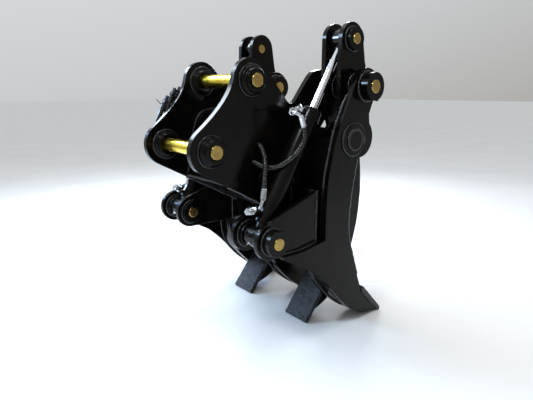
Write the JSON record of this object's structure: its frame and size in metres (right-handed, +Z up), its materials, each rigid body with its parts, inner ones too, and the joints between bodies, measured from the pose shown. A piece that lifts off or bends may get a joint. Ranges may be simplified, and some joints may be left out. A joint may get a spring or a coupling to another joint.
{
  "type": "hydraulic excavator grapple",
  "caption": "Twin-cylinder hydraulic grapple with a fixed outer jaw of curved tines and a hinged inner jaw, hung from two pins between hitch ears, shown closed.",
  "frame": {"origin": "on the ground, below the middle of the bounding box, with the jaws closed", "axes": "+Z up, +X to one side along the pins, -Y towards the hitch ears at the front"},
  "size_m": [1.05, 1.0577, 1.5407],
  "materials": {
    "paint": "gloss black paint",
    "zinc_gold": "yellow zinc plated steel pins",
    "chrome": "hard chromed and polished",
    "hose": "black rubber with a spiral guard",
    "zinc": "bright zinc plate",
    "wear_plate": "thin black paint over rough rolled wear plate"
  },
  "bodies": {
    "frame": {"frame_bottom_plate": "paint", "frame_cover_plate": "paint", "hitch_pin_lower": "zinc_gold", "hitch_pin_upper": "zinc_gold", "torque_shaft": "paint", "shell_plate": "paint", "cross_beam": "paint", "manifold_block": "zinc", "tine_strip_middle": "paint", "tine_wear_bar_middle": "wear_plate", "frame_side_plate_right": "paint", "hitch_boss_lower_right": "paint", "hitch_boss_upper_right": "paint", "tine_outer_plate_right": "paint", "tine_inner_plate_right": "paint", "middle_tine_plate_right": "paint", "tine_strip_right": "paint", "tine_wear_bar_right": "wear_plate", "arm_plate_inner_right": "paint", "arm_plate_outer_right": "paint", "cylinder_foot_pin_right": "zinc_gold", "main_pivot_pin_right": "zinc_gold", "hose_lower_right": "hose", "hose_upper_right": "hose", "frame_side_plate_left": "paint", "hitch_boss_lower_left": "paint", "hitch_boss_upper_left": "paint", "tine_outer_plate_left": "paint", "tine_inner_plate_left": "paint", "middle_tine_plate_left": "paint", "tine_strip_left": "paint", "tine_wear_bar_left": "wear_plate", "arm_plate_inner_left": "paint", "arm_plate_outer_left": "paint", "cylinder_foot_pin_left": "zinc_gold", "main_pivot_pin_left": "zinc_gold", "hose_lower_left": "hose", "hose_upper_left": "hose"},
    "jaw": {"jaw_cross_tube": "paint", "jaw_hub_right": "paint", "jaw_outer_plate_right": "paint", "jaw_inner_plate_right": "paint", "jaw_lever_right": "paint", "jaw_strip_right": "paint", "jaw_pad_right": "wear_plate", "rod_pin_right": "zinc_gold", "jaw_hub_left": "paint", "jaw_outer_plate_left": "paint", "jaw_inner_plate_left": "paint", "jaw_lever_left": "paint", "jaw_strip_left": "paint", "jaw_pad_left": "wear_plate", "rod_pin_left": "zinc_gold"},
    "barrel_right": {"cylinder_barrel_right": "paint", "cylinder_gland_right": "paint"},
    "rod_right": {"cylinder_rod_right": "chrome"},
    "barrel_left": {"cylinder_barrel_left": "paint", "cylinder_gland_left": "paint"},
    "rod_left": {"cylinder_rod_left": "chrome"}
  },
  "joints": [
    {"name": "jaw_swing", "type": "hinge", "parent": "frame", "child": "jaw", "pos_m": [0, 0.31896, 1.242], "axis": [1, 0, 0], "range_deg": [0, 55]},
    {"name": "barrel_swing_right", "type": "hinge", "parent": "frame", "child": "barrel_right", "pos_m": [0.34, -0.26104, 0.572], "axis": [1, 0, 0], "range_deg": [0, 6], "deforming": ["hose_lower_right", "hose_upper_right"]},
    {"name": "rod_slide_right", "type": "slide", "parent": "barrel_right", "child": "rod_right", "axis": [0, 0.5183, 0.8552], "range_m": [-0.19, 0]},
    {"name": "barrel_swing_left", "type": "hinge", "parent": "frame", "child": "barrel_left", "pos_m": [-0.34, -0.26104, 0.572], "axis": [1, 0, 0], "range_deg": [0, 6], "deforming": ["hose_lower_left", "hose_upper_left"]},
    {"name": "rod_slide_left", "type": "slide", "parent": "barrel_left", "child": "rod_left", "axis": [0, 0.5183, 0.8552], "range_m": [-0.19, 0]}
  ],
  "couplings": [
    {"joint": "barrel_swing_right", "follows": "jaw_swing", "ratio": 0.10664},
    {"joint": "rod_slide_right", "follows": "jaw_swing", "m_per_rad": -0.19181},
    {"joint": "barrel_swing_left", "follows": "jaw_swing", "ratio": 0.10664},
    {"joint": "rod_slide_left", "follows": "jaw_swing", "m_per_rad": -0.19181}
  ]
}
